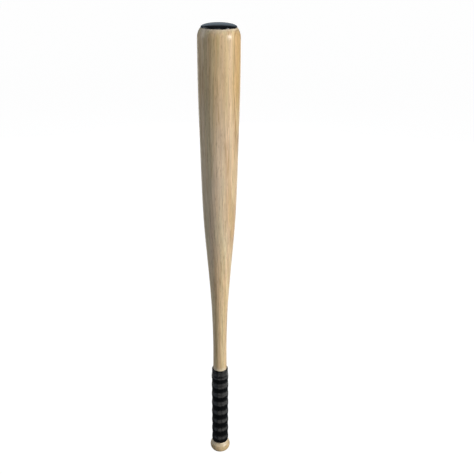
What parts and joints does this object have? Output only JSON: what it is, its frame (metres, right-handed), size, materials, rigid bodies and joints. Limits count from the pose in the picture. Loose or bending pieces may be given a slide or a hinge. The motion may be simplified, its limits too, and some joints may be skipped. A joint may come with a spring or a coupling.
{
  "type": "baseball bat",
  "caption": "Turned wooden baseball bat with a domed black end cap and a ribbed rubber grip sleeve above a rounded knob.",
  "frame": {"origin": "centre of the knob's flat base, on the bat's axis", "axes": "+Z along the bat's axis from the knob to the barrel's capped end; +X and +Y are any two square directions across it, because the bat is round"},
  "size_m": [0.0648, 0.0648, 0.7874],
  "materials": {
    "wood": "pale straight-grained hardwood under a clear satin lacquer",
    "cap_plastic": "polished black moulding",
    "grip_rubber": "fine matt black moulded rubber with rounded rings",
    "tape_film": "off-white double-sided adhesive tape"
  },
  "bodies": {
    "root": {"bat_body": "wood", "end_cap": "cap_plastic", "grip_sleeve": "grip_rubber", "grip_tape": "tape_film"}
  },
  "joints": []
}
